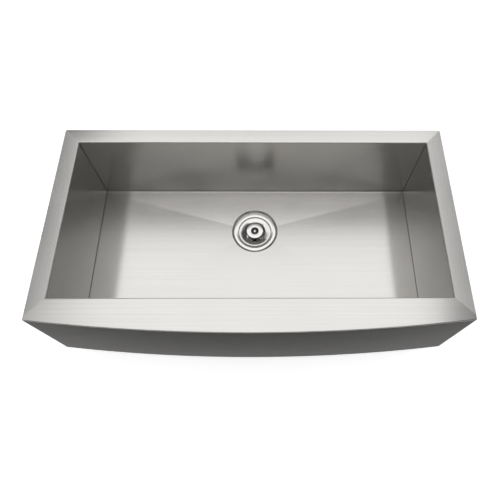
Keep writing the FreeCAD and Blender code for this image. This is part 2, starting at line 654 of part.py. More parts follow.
def main():
    os.makedirs("parts", exist_ok=True)
    tub = folded_tub()
    left, right = end_region(-1), end_region(1)
    save(tub.common(left), "end_panel_left")
    save(tub.common(right), "end_panel_right")
    wrap = tub.cut(left).cut(right)
    save(wrap.common(front_rim_region()), "front_rim")
    save(wrap.cut(front_rim_region()), "bowl_wrap")
    save(apron_shell(), "apron_panel")
    save(apron_strip(), "apron_bottom_strip")
    for side, x in (("left", -BRACKET_OFFSET), ("right", BRACKET_OFFSET)):
        save(apron_bracket(x), f"apron_bracket_{side}")
    for name, pad in {**floor_pads(), **wall_pads(), "pad_apron": apron_pad()}.items():
        save(pad, name)

    under_sink = SEAT_Z - SHEET
    save(strainer_body(), "strainer_body")
    save(ring(OUTLET_R, OUTLET_BORE_R, OUTLET_Z, OUTLET_TOP_Z), "strainer_outlet")
    save(spider(), "strainer_spider")
    save(ring(FLANGE_R - SEALANT_MARGIN, DRAIN_HOLE_R, SEAT_Z, FLANGE_Z), "flange_sealant")
    save(ring(GASKET_R, BODY_R + RING_CLEARANCE, under_sink - GASKET, under_sink), "drain_gasket")
    save(ring(FRICTION_R, BODY_R + RING_CLEARANCE, under_sink - GASKET - FRICTION_RING, under_sink - GASKET),
         "friction_ring")
    save(locknut(), "drain_locknut")

    save(basket_cup(), "basket_cup")
    save(bush(), "basket_bush")
    save(stopper_post(), "stopper_post")
    save(ring(RETAINER_R, POST_R, SEAL_TOP_Z, RETAINER_TOP_Z), "seal_retainer")
    save(stopper_seal(), "stopper_seal")
    save(post_clip(), "post_clip")
    save(knob_cap(), "knob_cap")
    save(dome_nut(), "knob_nut")


main()
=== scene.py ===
from math import radians

import bmesh
import bpy
import numpy as np
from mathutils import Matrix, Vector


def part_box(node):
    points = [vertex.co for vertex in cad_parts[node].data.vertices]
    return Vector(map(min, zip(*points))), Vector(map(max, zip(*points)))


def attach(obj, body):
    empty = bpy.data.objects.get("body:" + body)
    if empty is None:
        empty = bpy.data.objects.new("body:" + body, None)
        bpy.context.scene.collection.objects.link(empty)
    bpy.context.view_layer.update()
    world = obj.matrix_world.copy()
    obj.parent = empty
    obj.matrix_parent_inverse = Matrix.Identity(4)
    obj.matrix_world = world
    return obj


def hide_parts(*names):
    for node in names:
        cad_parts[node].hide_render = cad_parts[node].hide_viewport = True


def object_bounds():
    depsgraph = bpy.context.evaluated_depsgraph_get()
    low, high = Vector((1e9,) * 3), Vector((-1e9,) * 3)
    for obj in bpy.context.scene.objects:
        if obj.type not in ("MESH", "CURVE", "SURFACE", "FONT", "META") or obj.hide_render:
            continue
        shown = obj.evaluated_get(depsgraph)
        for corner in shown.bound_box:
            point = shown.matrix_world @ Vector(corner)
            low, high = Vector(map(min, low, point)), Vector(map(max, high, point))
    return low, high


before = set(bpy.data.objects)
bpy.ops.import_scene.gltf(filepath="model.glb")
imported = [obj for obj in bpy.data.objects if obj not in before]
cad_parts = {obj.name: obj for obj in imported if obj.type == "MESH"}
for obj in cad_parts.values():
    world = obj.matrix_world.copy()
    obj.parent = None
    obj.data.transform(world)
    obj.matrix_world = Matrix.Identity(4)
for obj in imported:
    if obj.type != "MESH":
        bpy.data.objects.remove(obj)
cad_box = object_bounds()

# ------------------------------------------------------------------ the folded bowl
# One stainless sheet makes the rear rim, the rear wall, the floor and the front wall. The floor is pressed into four
# shallow facets that fall to the drain, with a seat round the drain hole. The inside is brushed along the sink's
# length, and below the rim the outside is sprayed with a grey coat that deadens sound.

# Sizes are in metres. x runs across the sink, y to its rear, and z is 0 at the rim's underside.
SHEET = 0.0015
RIM_TOP = 0.0015
HALF_WIDTH = 0.4572
HALF_OPENING = 0.4191
REAR_EDGE = 0.01905
REAR_WALL = -0.01905
FRONT_WALL = -0.41095
FLOOR = -0.2195
MARGIN = 0.010           # level strip of the floor along its walls
MOUTH_BEND = 0.003
FOOT_BEND = 0.003
CORNER_RADIUS = 0.004
EDGE_ROUND = 0.0012
DRAIN_Y = -0.14345
LOWEST = -0.2255         # where the floor's facets would meet, on the drain's axis
RECESS_BOTTOM = -0.2271
RECESS_RADIUS = 0.0593
HOLE_RADIUS = 0.0452
SOFTENED = 0.0001        # how far the pressed recess rounds its creases
WELD = RIM_TOP - MOUTH_BEND
TIGHTEST = 0.0001        # radius of the tightest corner arc
BARE_ABOVE = -0.006      # the coat on hidden skins ends at this height
SLACK = 1e-6             # rounding allowed where heights and radii are compared
MERGED = 4e-6            # points nearer than this are one
STEEL = (0.67, 0.658, 0.638)
COAT = (0.21, 0.215, 0.22)
ROUGHNESS = 0.22
BLUR = 0.93
FIRST, COATED, THIRD, FOURTH = range(4)  # a face's place in its piece's list of materials


def folded(corners, radii, steps=13):
    """A path through the corners with each turn rounded. A turn's arc touches both runs at radius * tan(turn / 2)
    from the corner, and its points lie on the circle between them."""
    corners = np.array(corners, float)
    path = [corners[:1]]
    for before, corner, after, radius in zip(corners, corners[1:], corners[2:], radii):
        into = (corner - before) / np.linalg.norm(corner - before)
        out = (after - corner) / np.linalg.norm(after - corner)
        turn = np.arctan2(into[0] * out[1] - into[1] * out[0], into @ out)
        side = np.sign(turn) * np.array([-into[1], into[0]])
        centre = corner - into * radius * np.tan(abs(turn) / 2) + side * radius
        swing = np.linspace(0, turn, steps)[:, None]
        spoke = -side * radius
        path.append(centre + spoke * np.cos(swing) + np.array([-spoke[1], spoke[0]]) * np.sin(swing))
    path.append(corners[-1:])
    return np.concatenate(path)


def run_along(path):
    """Distance from the path's start to each of its points, as the running sum of its steps."""
    return np.concatenate([[0], np.cumsum(np.linalg.norm(np.diff(path, axis=0), axis=1))])


def sheet(shown, hidden, grain, rows=(0, -1), columns=(0, -1), seams=FIRST, border=FIRST):
    """The grids of a closed sheet: its shown and hidden skins, and a strip along each border row and column named.
    A grid is its points, the grain map at them, and its faces' material numbers: seams for the shown skin, COATED for
    the hidden skin, and border for the strips."""
    grids = [(shown, grain, seams), (hidden, grain, COATED)]
    for end in rows:
        edge = np.stack([grain[end], grain[end] + (0, SHEET)])
        grids.append((np.stack([shown[end], hidden[end]]), edge, border))
    for end in columns:
        edge = np.stack([grain[:, end], grain[:, end] + (SHEET, 0)], 1)
        grids.append((np.stack([shown[:, end], hidden[:, end]], 1), edge, border))
    return grids


def plate(name, grids, materials, crisp=32):
    """One closed mesh from grids of points that meet at their borders. COATED faces above BARE_ABOVE get the first
    material after all. Turns sharper than crisp degrees stay sharp."""
    points, quads, maps, numbers, start = [], [], [], [], 0
    for grid, grain, number in grids:
        rows, columns = grid.shape[:2]
        ids = start + np.arange(rows * columns).reshape(rows, columns)
        quads.append(np.stack([ids[:-1, :-1], ids[:-1, 1:], ids[1:, 1:], ids[1:, :-1]], -1).reshape(-1, 4))
        points.append(grid.reshape(-1, 3))
        maps.append(grain.reshape(-1, 2))
        numbers.append(np.broadcast_to(number, (rows - 1, columns - 1)).ravel())
        start += rows * columns
    points, quads, maps, numbers = (np.concatenate(part) for part in (points, quads, maps, numbers))
    mesh = bpy.data.meshes.new(name)
    mesh.from_pydata(points, [], quads.tolist())
    mesh.uv_layers.new(name="grain").data.foreach_set("uv", maps[quads.ravel()].ravel())
    bare = (numbers == COATED) & (points[quads][..., 2].mean(1) >= BARE_ABOVE)
    mesh.polygons.foreach_set("material_index", np.where(bare, FIRST, numbers))
    mesh.polygons.foreach_set("use_smooth", np.ones(len(quads), bool))
    bm = bmesh.new()
    bm.from_mesh(mesh)
    bmesh.ops.remove_doubles(bm, verts=bm.verts, dist=MERGED)
    bmesh.ops.dissolve_degenerate(bm, edges=bm.edges, dist=SLACK)
    bmesh.ops.recalc_face_normals(bm, faces=bm.faces)
    bm.to_mesh(mesh)
    bm.free()
    mesh.set_sharp_from_angle(angle=radians(crisp))
    for material in materials:
        mesh.materials.append(material)
    piece = bpy.data.objects.new(name, mesh)
    bpy.context.scene.collection.objects.link(piece)
    return piece


def shader(name, colour, metallic, roughness, **more):
    """A new material: the material, its tree and its Principled shader with these constants."""
    material = bpy.data.materials.new(name)
    material.use_nodes = True
    surface = material.node_tree.nodes["Principled BSDF"]
    surface.inputs["Base Color"].default_value = (*colour, 1)
    surface.inputs["Metallic"].default_value = metallic
    surface.inputs["Roughness"].default_value = roughness
    for socket, value in more.items():
        surface.inputs[socket.replace("_", " ")].default_value = value
    return material, material.node_tree, surface


def node(tree, kind, inputs=(), **settings):
    """A node of that kind with its settings made. Each of its inputs is linked where a socket is given, else set."""
    made = tree.nodes.new(kind)
    for key, value in settings.items():
        setattr(made, key, value)
    for key, value in dict(inputs).items():
        if isinstance(value, bpy.types.NodeSocket):
            tree.links.new(value, made.inputs[key])
        else:
            made.inputs[key].default_value = value
    return made


def math_node(tree, operation, a, b):
    """The result of that operation on a and b, each a socket or a number."""
    return node(tree, "ShaderNodeMath", {0: a, 1: b}, operation=operation).outputs[0]


def noise(tree, vector, scale, detail):
    """Smooth noise from 0 to 1 over the vector, of that scale and so many octaves."""
    return node(tree, "ShaderNodeTexNoise", {"Vector": vector, "Scale": scale, "Detail": detail}).outputs["Fac"]


def spread_over(tree, value, low, high, to_low, to_high, **settings):
    """The value with its range from low to high spread over the range from to_low to to_high, and held beyond it."""
    inputs = {"Value": value, "From Min": low, "From Max": high, "To Min": to_low, "To Max": to_high}
    return node(tree, "ShaderNodeMapRange", inputs, **settings).outputs[0]


def tinted(tree, surface, colour, tone):
    """The surface's colour becomes colour times tone."""
    scaled = node(tree, "ShaderNodeVectorMath", {0: colour, "Scale": tone}, operation="SCALE").outputs[0]
    tree.links.new(scaled, surface.inputs["Base Color"])


def brushed(name, colour, roughness, blur, fine=(14, 2600, 1), streak=(1.6, 240, 1), scratch=0.25, clouds=0.05):
    """Brushed metal. Hairlines along the grain map's first axis raise and roughen it, and longer streaks and soft
    clouds from hand rubbing shift its tone. blur is how much more it blurs across the grain than along it."""
    material, tree, surface = shader(name, colour, 1.0, roughness, Anisotropic=blur, Anisotropic_Rotation=0.25)
    grain = node(tree, "ShaderNodeUVMap", uv_map="grain").outputs[0]
    tangent = node(tree, "ShaderNodeTangent", direction_type="UV_MAP", uv_map="grain").outputs[0]
    tree.links.new(tangent, surface.inputs["Tangent"])
    place = node(tree, "ShaderNodeTexCoord").outputs["Object"]
    hairs = noise(tree, node(tree, "ShaderNodeMapping", {"Vector": grain, "Scale": fine}).outputs[0], 1.0, 3.0)
    streaks = noise(tree, node(tree, "ShaderNodeMapping", {"Vector": grain, "Scale": streak}).outputs[0], 1.0, 4.0)
    cloud = noise(tree, place, 7.0, 2.0)
    tinted(tree, surface, colour,
           spread_over(tree, math_node(tree, "ADD", streaks, cloud), 0.6, 1.4, 1 - clouds, 1 + clouds))
    rough = spread_over(tree, math_node(tree, "ADD", hairs, cloud), 0.6, 1.4, roughness * 0.85, roughness * 1.15)
    tree.links.new(rough, surface.inputs["Roughness"])
    relief = node(tree, "ShaderNodeBump", {"Strength": scratch, "Distance": 0.00002, "Height": hairs}).outputs[0]
    tree.links.new(relief, surface.inputs["Normal"])
    return material


def grainy(name, colour, roughness, size, relief, metallic=0.0, contrast=0.25):
    """A matt or gritty finish: noise with that size in metres raises it by relief and lightens what it raises."""
    material, tree, surface = shader(name, colour, metallic, roughness)
    grit = noise(tree, node(tree, "ShaderNodeTexCoord").outputs["Object"], 1 / size, 4.0)
    tinted(tree, surface, colour, spread_over(tree, grit, 0.3, 0.7, 1 - contrast, 1 + contrast))
    bump = node(tree, "ShaderNodeBump", {"Strength": 0.8, "Distance": relief, "Height": grit}).outputs[0]
    tree.links.new(bump, surface.inputs["Normal"])
    return material


def rounded_corner(grid, inset):
    """Points beyond a rear corner's centre both ways are drawn back to its arc, which is tighter by their inset."""
    x, y = np.abs(grid[..., 0]), grid[..., 1]
    dx, dy = x - (HALF_WIDTH - CORNER_RADIUS), y - (REAR_EDGE - CORNER_RADIUS)
    reach, limit = np.hypot(dx, dy), np.maximum(CORNER_RADIUS - inset, TIGHTEST)
    pull = np.where((dx > 0) & (dy > 0) & (reach > limit), limit / np.maximum(reach, SLACK), 1)
    grid[..., 0] = np.sign(grid[..., 0]) * (x + (pull - 1) * dx)
    grid[..., 1] = y + (pull - 1) * dy
    return grid


# Columns across the sink lie closer together at its ends: the first is the weld seam's width in, the next ones serve
# the rounded corners, and IN_MARGIN of them lie inside the floor's level margin.
NEAR_END = np.array([0, 0.0008, 0.0014, 0.002, 0.003, 0.004, MARGIN, 0.018])
IN_MARGIN = 6
COLUMNS = 73
ALONG_SIDE = 33          # points of the floor's margin beside an end


def across(half):
    """x of each column, for rows whose half widths are given: fixed steps in from both ends, even between."""
    half = np.asarray(half)[:, None]
    middle = (half - NEAR_END[-1]) * np.linspace(-1, 1, COLUMNS)[1:-1]
    return np.concatenate([NEAR_END - half, middle, (half - NEAR_END)[:, ::-1]], 1)


def carried(path, half):
    """Each (y, z) of the path carried across the sink, out to its half width."""
    x = across(half)
    return np.stack([x, *(np.repeat(path[:, i:i + 1], x.shape[1], 1) for i in (0, 1))], -1)


def grain_of(grid, path):
    """Grain map of rows carried across the sink: x, and the distance along the path."""
    return np.stack([grid[..., 0], np.repeat(run_along(path)[:, None], grid.shape[1], 1)], -1)


def end_seams(grid):
    """Face numbers of rows carried across the sink: the outermost faces below the rim are THIRD, for the near-black
    seam, which also paints shade in the corner.
    """
    seams = np.full((len(grid) - 1, grid.shape[1] - 1), FIRST)
    seams[:, [0, -1]] = np.where(grid[1:, :1, 2] < WELD + SLACK, THIRD, FIRST)
    return seams


def rear_rows(path):
    """One skin of the rear rim and wall, out to the mitres above the mouth's bend and to the ends below it."""
    on_deck = path[:, 1] > WELD + SLACK
    grid = carried(path, HALF_OPENING + np.where(on_deck, path[:, 0] - REAR_WALL, 0))
    return rounded_corner(grid, REAR_EDGE - grid[..., 1])


steel = brushed("brushed_steel", STEEL, ROUGHNESS, BLUR)
coat = grainy("sprayed_grey_coat", COAT, 0.75, 0.0022, 0.0004)
# A near-black seam for the corners where the ends meet the bowl: a weld joint, drawn dark to paint the shade in those
# corners too.
seam_and_shade = grainy("weld_seam_and_painted_shade", (0.05, 0.048, 0.045), 0.6, 0.002, 0.00003, metallic=0.6, contrast=0.3)

rear_margin, front_margin = REAR_WALL - MARGIN, FRONT_WALL + MARGIN
shown = folded([(rear_margin, FLOOR), (REAR_WALL, FLOOR), (REAR_WALL, RIM_TOP), (REAR_EDGE, RIM_TOP),
                (REAR_EDGE, 0)], [FOOT_BEND, MOUTH_BEND, EDGE_ROUND])
hidden = folded([(rear_margin, FLOOR - SHEET), (REAR_WALL + SHEET, FLOOR - SHEET), (REAR_WALL + SHEET, 0),
                 (REAR_EDGE - EDGE_ROUND, 0), (REAR_EDGE, 0)], [FOOT_BEND + SHEET, MOUTH_BEND - SHEET, 0])
skin = rear_rows(shown)
bowl_grids = sheet(skin, rear_rows(hidden), grain_of(skin, shown), rows=[-1], seams=end_seams(skin))

shown = folded([(front_margin, FLOOR), (FRONT_WALL, FLOOR), (FRONT_WALL, WELD)], [FOOT_BEND])
hidden = folded([(front_margin, FLOOR - SHEET), (FRONT_WALL - SHEET, FLOOR - SHEET), (FRONT_WALL - SHEET, WELD)],
                [FOOT_BEND + SHEET])
skins = [carried(path, np.full(len(path), HALF_OPENING)) for path in (shown, hidden)]
bowl_grids += sheet(*skins, grain_of(skins[0], shown), rows=[-1], seams=end_seams(skins[0]))

inner_x = across([HALF_OPENING])[0][IN_MARGIN:-IN_MARGIN]
first_step = 0.008
even_y = np.linspace(front_margin + first_step, rear_margin - first_step, ALONG_SIDE)
side_y = np.concatenate([[front_margin], even_y, [rear_margin]])
margin_loop = np.concatenate([
    np.stack([inner_x, np.full(len(inner_x), rear_margin)], 1)[::-1],
    np.stack([np.full(len(side_y), inner_x[0]), side_y], 1)[::-1][1:],
    np.stack([inner_x, np.full(len(inner_x), front_margin)], 1)[1:],
    np.stack([np.full(len(side_y), inner_x[-1]), side_y], 1)[1:],
])


def floor_rings(drop):
    """The creased floor from its level margin in to the drain hole, drop lower. Each point of the margin has a ray to
    the drain. Along it the height falls in proportion to the distance, and the drain's seat is cut in as a flat
    disc with a wall at 45 degrees: the height is the lower of facet and seat, with SOFTENED creases. rim is where
    a ray meets the wall's top."""
    ray = margin_loop - (0, DRAIN_Y)
    far = np.linalg.norm(ray, axis=1)
    rim = (LOWEST - RECESS_BOTTOM + RECESS_RADIUS) / (1 - (FLOOR - LOWEST) / far)
    flat = [HOLE_RADIUS, 0.050, 0.056] + [RECESS_RADIUS + step for step in (-5e-4, -3e-4, -1e-4, 1e-4, 3e-4, 7e-4)]
    radius = np.array([far * 0 + r for r in flat]
                      + [rim + step for step in (-6e-4, -3e-4, -1e-4, 1e-4, 3e-4, 6e-4, 15e-4)]
                      + [rim + (far - rim) * share for share in (0.03, 0.08, 0.16, 0.28, 0.44, 0.62, 0.8, 1.0)])
    facet = LOWEST + (FLOOR - LOWEST) * radius / far
    seat = RECESS_BOTTOM + np.logaddexp(0, (radius - RECESS_RADIUS) / SOFTENED) * SOFTENED
    height = facet - np.logaddexp(0, (facet - seat) / SOFTENED) * SOFTENED
    height[-1] = FLOOR
    spot = ray / far[:, None] * radius[..., None]
    return np.concatenate([spot + (0, DRAIN_Y), height[..., None] - drop], -1)


skin = floor_rings(0)
bowl_grids += sheet(skin, floor_rings(SHEET), skin[..., :2], rows=[0], columns=[])
for side in (1, -1):
    x, y = np.meshgrid(side * (HALF_OPENING - NEAR_END[:IN_MARGIN + 1]), side_y)
    skins = [np.stack([x, y, np.full_like(x, FLOOR - drop)], -1) for drop in (0, SHEET)]
    # The outermost column is the near-black seam, which also paints shade in the corner.
    seams = np.where(np.arange(IN_MARGIN) == 0, THIRD, FIRST)
    bowl_grids += sheet(*skins, skins[0][..., :2], rows=[], columns=[0], seams=seams)

bowl = plate("bowl_steel", bowl_grids, [steel, coat, seam_and_shade])
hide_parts("bowl_wrap")
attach(bowl, "sink")

# ------------------------------------------------------------------ the two ends
# Each end is a sheet of its own, with its own rim, and is brushed from front to back, its rim more coarsely and in a
# darker copy of the steel's colour, which paints shade on the rim. It is welded along the bowl's open side, where a
# narrow near-black seam is drawn in the corner: the weld joint, made dark to paint the shade in the corner too. It is
# also welded along the rims' mitres, which are ground flush.
SEAM_WIDTH = 0.0009
END_COLUMNS = 41
# a darker copy of STEEL, which paints shade on the side rims
SHADED_SIDE_RIM = (0.57, 0.56, 0.545)


def end_rows(path, side):
    """One skin of an end: each (distance from the middle, z) of the path is carried from front to back. On the rim
    the rows run out along the mitres at 45 degrees. At the bowl's foot they follow its bends, which are quarter
    circles of the bowl's outside."""
    above_foot = np.clip((path[:, 1] - FLOOR + SHEET) / (FOOT_BEND + SHEET), 0, 1)
    foot = (FOOT_BEND + SHEET) * (1 - np.sqrt(1 - (1 - above_foot) ** 2))
    grow = np.where(path[:, 1] > WELD + SLACK, path[:, 0] - HALF_OPENING, SHEET - foot)
    from_edge = np.array([0, SHEET, SHEET + SEAM_WIDTH, 0.004, 0.008])
    low, high = (FRONT_WALL - grow)[:, None], (REAR_WALL + grow)[:, None]
    even = low + from_edge[-1] + (high - low - 2 * from_edge[-1]) * np.linspace(0, 1, END_COLUMNS)[1:-1]
    y = np.concatenate([low + from_edge, even, (high - from_edge)[:, ::-1]], 1)
    x, z = (np.repeat(path[:, i:i + 1], y.shape[1], 1) for i in (0, 1))
    return rounded_corner(np.stack([side * x, y, z], -1), HALF_WIDTH - x)


over_floor = [-SHEET, -0.0013, -0.001, 0, SEAM_WIDTH, 0.0019, FOOT_BEND]
floor_seam = over_floor.index(0)
shown = folded([(HALF_OPENING, WELD), (HALF_OPENING, RIM_TOP), (HALF_WIDTH, RIM_TOP), (HALF_WIDTH, 0)],
               [MOUTH_BEND, EDGE_ROUND])
hidden = folded([(HALF_OPENING + SHEET, WELD), (HALF_OPENING + SHEET, 0), (HALF_WIDTH - EDGE_ROUND, 0),
                 (HALF_WIDTH, 0)], [MOUTH_BEND - SHEET, 0])
shown = np.concatenate([[(HALF_OPENING, FLOOR + height) for height in over_floor], shown])
hidden = np.concatenate([[(HALF_OPENING + SHEET, FLOOR + height) for height in over_floor], hidden])
# On the rim the ends take the darker rim steel, more coarsely brushed: painted shade on the side rims.
on_rim = shown[1:, 0] > HALF_OPENING + 0.0004
ends_steel = brushed("brushed_end_steel", STEEL, 0.23, BLUR)
shaded_side_rim = brushed("side_rim_painted_shade", SHADED_SIDE_RIM, 0.27, BLUR)
for name, side in (("left", -1), ("right", 1)):
    skin = end_rows(shown, side)
    seams = np.full((len(skin) - 1, skin.shape[1] - 1), FIRST)
    # Strips along the bowl's foot and open side get the near-black seam, which also paints shade in the corner.
    seams[:len(over_floor), [1, -2]] = THIRD
    seams[floor_seam, 1:-1] = THIRD
    seams[on_rim] = FOURTH
    grain = np.stack([skin[..., 1], np.repeat(run_along(shown)[:, None], skin.shape[1], 1)], -1)
    end = plate(f"end_steel_{name}", sheet(skin, end_rows(hidden, side), grain, seams=seams, border=COATED),
                [ends_steel, coat, seam_and_shade, shaded_side_rim])
    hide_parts(f"end_panel_{name}")
    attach(end, "sink")

# ------------------------------------------------------------------ the front rim
# A bowed strip with its inner edge turned down, welded to the bowl's front wall, to the ends' mitres and to the
# apron. The weld along the apron is ground to a round.
CORNER_Y = -0.45895
BOW_Y = -0.48495
FRONT_ROUND = 0.003
WELD_LINE = np.pi / 3    # where on the ground round the rim ends and the apron starts
BOW_RADIUS = (HALF_WIDTH ** 2 + (CORNER_Y - BOW_Y) ** 2) / (2 * (CORNER_Y - BOW_Y))
BOW_CENTRE = BOW_Y + BOW_RADIUS
ON_SIDE, ON_CORNER, ON_BOW = 6, 12, 60  # points of one half of the outline


def outline(from_y):
    """The sink's front in plan, from the right side at from_y to the left, and its outward normals: side, corner arc
    that touches side and bow, bow, arc, side. The bow is the near part of a large circle."""
    centre_x = HALF_WIDTH - CORNER_RADIUS
    centre_y = BOW_CENTRE - np.sqrt((BOW_RADIUS - CORNER_RADIUS) ** 2 - centre_x ** 2)
    lean = np.arctan2(centre_y - BOW_CENTRE, centre_x)
    angles = [[0] * ON_SIDE, np.linspace(0, lean, ON_CORNER), np.linspace(lean, -np.pi / 2, ON_BOW + 1)[1:]]
    normals = [np.stack([np.cos(angle), np.sin(angle)], 1) for angle in angles]
    side = np.stack([np.full(ON_SIDE, HALF_WIDTH), np.linspace(from_y, centre_y, ON_SIDE + 1)[:-1]], 1)
    right = np.concatenate([side, (centre_x, centre_y) + CORNER_RADIUS * normals[1],
                            (0, BOW_CENTRE) + BOW_RADIUS * normals[2]])
    outward = np.concatenate(normals)
    mirror = (-1, 1)
    return np.concatenate([right, right[-2::-1] * mirror]), np.concatenate([outward, outward[-2::-1] * mirror])


def drawn_in(line, inset):
    """The plan with its bow, but not its sides and corners, drawn in: no point lies ahead of the smaller circle."""
    behind = BOW_CENTRE - np.sqrt((BOW_RADIUS - inset) ** 2 - line[:, 0] ** 2)
    return np.stack([line[:, 0], np.maximum(line[:, 1], behind)], 1)


def rim_rows(bend_radius, thin):
    """One skin of the front rim. Rows follow the mouth's bend, then run straight to 3 mm inside the bow, then to the
    weld. Above, the height drops over the ground round and the sides' dressed round: 3 mm and 1.2 mm circles."""
    line = outline(FRONT_WALL - (HALF_WIDTH - HALF_OPENING))[0]
    start = np.clip(line[:, 0] / (HALF_WIDTH - CORNER_RADIUS), -1, 1)
    turn = np.linspace(0, np.pi / 2, 15)
    ahead = thin + bend_radius * (1 - np.cos(turn))
    bend = [np.stack([start * (HALF_OPENING + gone), np.full(len(start), FRONT_WALL - gone)], 1) for gone in ahead]
    shares = np.concatenate([np.linspace(0, 0.96, 13)[1:], [0.9685, 0.974, 0.98, 0.986, 0.993, 1]])
    flat = [bend[-1] + (drawn_in(line, FRONT_ROUND) - bend[-1]) * share for share in shares]
    ground = [drawn_in(line, FRONT_ROUND * (1 - np.sin(angle))) for angle in np.linspace(0, WELD_LINE, 10)[1:]]
    plan = np.array(bend + flat + ground)
    inside = np.clip(BOW_RADIUS - np.hypot(plan[..., 0], plan[..., 1] - BOW_CENTRE), 0, FRONT_ROUND)
    in_side = np.clip(HALF_WIDTH - np.abs(plan[..., 0]), 0, EDGE_ROUND)
    z = np.minimum(WELD + np.sqrt(FRONT_ROUND ** 2 - (FRONT_ROUND - inside) ** 2),
                   RIM_TOP - EDGE_ROUND + np.sqrt(EDGE_ROUND ** 2 - (EDGE_ROUND - in_side) ** 2)) * (thin == 0)
    z[:len(turn)] = (WELD + bend_radius * np.sin(turn))[:, None]
    return np.concatenate([plan, z[..., None]], -1)


skin = rim_rows(MOUTH_BEND, 0)
rim = plate("front_rim_steel", sheet(skin, rim_rows(MOUTH_BEND - SHEET, SHEET), skin[..., :2]), [steel, coat])
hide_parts("front_rim")
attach(rim, "sink")

# ------------------------------------------------------------------ the apron
# A second sheet, rolled to the bow and folded back at both corners. It hangs from the front rim's weld, and its
# lower edge is dressed round. It is brushed along its length.
APRON_FOOT = -0.2271
RETURN_Y = -0.40895

line, outward = outline(RETURN_Y)
turn = np.linspace(WELD_LINE, np.pi / 2, 6)
foot = np.linspace(0, np.pi / 2, 7)
face = np.linspace(WELD, APRON_FOOT + EDGE_ROUND, 26)[1:-1]
z = np.concatenate([WELD + FRONT_ROUND * np.cos(turn), face, APRON_FOOT + EDGE_ROUND * (1 - np.sin(foot))])
insets = np.concatenate([FRONT_ROUND * (1 - np.sin(turn)), 0 * face, EDGE_ROUND * (1 - np.cos(foot))])
height = np.repeat(z[:, None, None], len(line), 1)
skin = np.concatenate([np.array([drawn_in(line, inset) for inset in insets]), height], -1)
back = np.concatenate([np.repeat((line - SHEET * outward)[None], len(z), 0), height], -1)
grain = np.stack([np.repeat(run_along(line)[None], len(z), 0), height[..., 0]], -1)
apron = plate("apron_steel", sheet(skin, back, grain), [steel, coat])
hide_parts("apron_panel")
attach(apron, "sink")

# ------------------------------------------------------------------ the apron's strip and brackets
# Plain mill-finished sheet: a strip closes the apron's foot, and two folded brackets tie it to the bowl's front wall.


def finished(name, material, edge=0.0002, crisp=32, body="sink"):
    """A copy of the CAD node called name that stands for it, with its loose triangles merged, its flat faces joined
    and its edges sharper than crisp degrees broken by a small bevel of width edge."""
    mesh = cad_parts[name].data.copy()
    mesh.materials.clear()
    bm = bmesh.new()
    bm.from_mesh(mesh)
    bmesh.ops.remove_doubles(bm, verts=bm.verts, dist=2 * SLACK)
    bmesh.ops.recalc_face_normals(bm, faces=bm.faces)
    bmesh.ops.dissolve_limit(bm, angle_limit=radians(0.4), verts=bm.verts, edges=bm.edges)
    bm.to_mesh(mesh)
    bm.free()
    mesh.polygons.foreach_set("use_smooth", np.ones(len(mesh.polygons), bool))
    mesh.set_sharp_from_angle(angle=radians(crisp))
    mesh.materials.append(material)
    piece = bpy.data.objects.new(f"{name}_finished", mesh)
    bpy.context.scene.collection.objects.link(piece)
    if edge:
        bevel = piece.modifiers.new("broken_edges", "BEVEL")
        bevel.width, bevel.segments, bevel.limit_method, bevel.angle_limit = edge, 2, "ANGLE", radians(crisp)
    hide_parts(name)
    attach(piece, body)
    return piece


mill = grainy("mill_steel", (0.56, 0.56, 0.55), 0.42, 0.004, 0.00002, metallic=1.0, contrast=0.05)
for name in ("apron_bottom_strip", "apron_bracket_left", "apron_bracket_right"):
    finished(name, mill, edge=0.0003)

# ------------------------------------------------------------------ the sound pads
# Soft black rubber sheets glued to the floor's underside, to the walls' outside and to the apron's back.
rubber = grainy("pad_rubber", (0.028, 0.028, 0.030), 0.62, 0.0016, 0.00025, contrast=0.35)
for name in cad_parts:
    if name.startswith("pad_"):
        finished(name, rubber, edge=0.0006)

# ------------------------------------------------------------------ the strainer
# Pressed and turned stainless steel: a polished flange on the floor, a cup with an outside thread through the drain
# hole, and a threaded outlet with a cross pressed in. It sits in sealant, and a gasket, a friction card and a zinc
# locknut with lugs draw it down from below.
PITCH = 0.0021
THREAD = 0.0008
BODY_RADIUS = 0.0431
BODY_SHEET = 0.0015
BODY_BORE = 0.0416
NECK = 0.0446
SEAT_RADIUS = 0.0451     # the flange's dish ends here, on a narrow seat
LEDGE_RADIUS = 0.0436    # inside it the basket's lip lies on a ledge
OUTLET_RADIUS = 0.0239
OUTLET_WALL = 0.0022
ROUND = 192              # points round the axis
GRAIN_RADIUS = 0.03      # the grain map's length round the axis is measured at this radius
TURNED = (0.74, 0.735, 0.72)


def rounded(chain, radius, steps=5):
    """An open chain of points with its inner corners rounded over radius each way, by a quadratic curve."""
    chain = np.array(chain, float)
    before, corner, after = chain[:-2], chain[1:-1], chain[2:]
    into, out = before - corner, after - corner
    size = [np.linalg.norm(way, axis=1, keepdims=True) for way in (into, out)]
    cut = np.minimum(radius, np.minimum(*size) * 0.45)
    start, end = corner + into / size[0] * cut, corner + out / size[1] * cut
    t = np.linspace(0, 1, steps)[None, :, None]
    arcs = (1 - t) ** 2 * start[:, None] + 2 * t * (1 - t) * corner[:, None] + t ** 2 * end[:, None]
    return np.concatenate([chain[:1], arcs.reshape(-1, 2), chain[-1:]])


